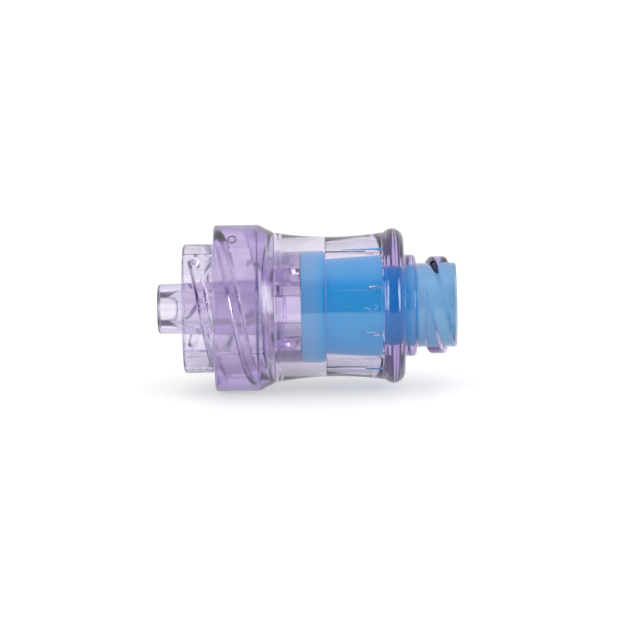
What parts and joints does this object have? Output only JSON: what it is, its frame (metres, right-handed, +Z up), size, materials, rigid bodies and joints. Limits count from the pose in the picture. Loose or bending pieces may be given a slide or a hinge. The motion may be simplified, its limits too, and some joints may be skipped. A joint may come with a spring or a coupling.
{
  "type": "needle free connector",
  "caption": "Clear needle free luer connector: threaded male lock, waisted barrel, ring and female luer neck around a soft blue silicone valve that a luer tip presses in.",
  "frame": {"origin": "under the middle of the connector's length, on its axis, level with the lowest point of the collar", "axes": "+X along the connector's axis from the male end to the female end, +Z up"},
  "size_m": [0.024, 0.0134, 0.0134],
  "materials": {
    "base_polycarbonate": "clear lavender-tinted moulded polycarbonate, polished",
    "housing_polycarbonate": "clear lavender-tinted moulded polycarbonate, polished",
    "valve_silicone": "soft blue silicone, satin, slightly translucent"
  },
  "bodies": {
    "connector": {"luer_lock_base": "base_polycarbonate", "upper_housing": "housing_polycarbonate"},
    "valve": {"silicone_valve": "valve_silicone"}
  },
  "joints": [
    {"name": "valve_press", "type": "slide", "parent": "connector", "child": "valve", "axis": [-1, 0, 0], "range_m": [0, 0.004], "stiffness_N_per_m": 1200, "deforming": ["silicone_valve"]}
  ]
}
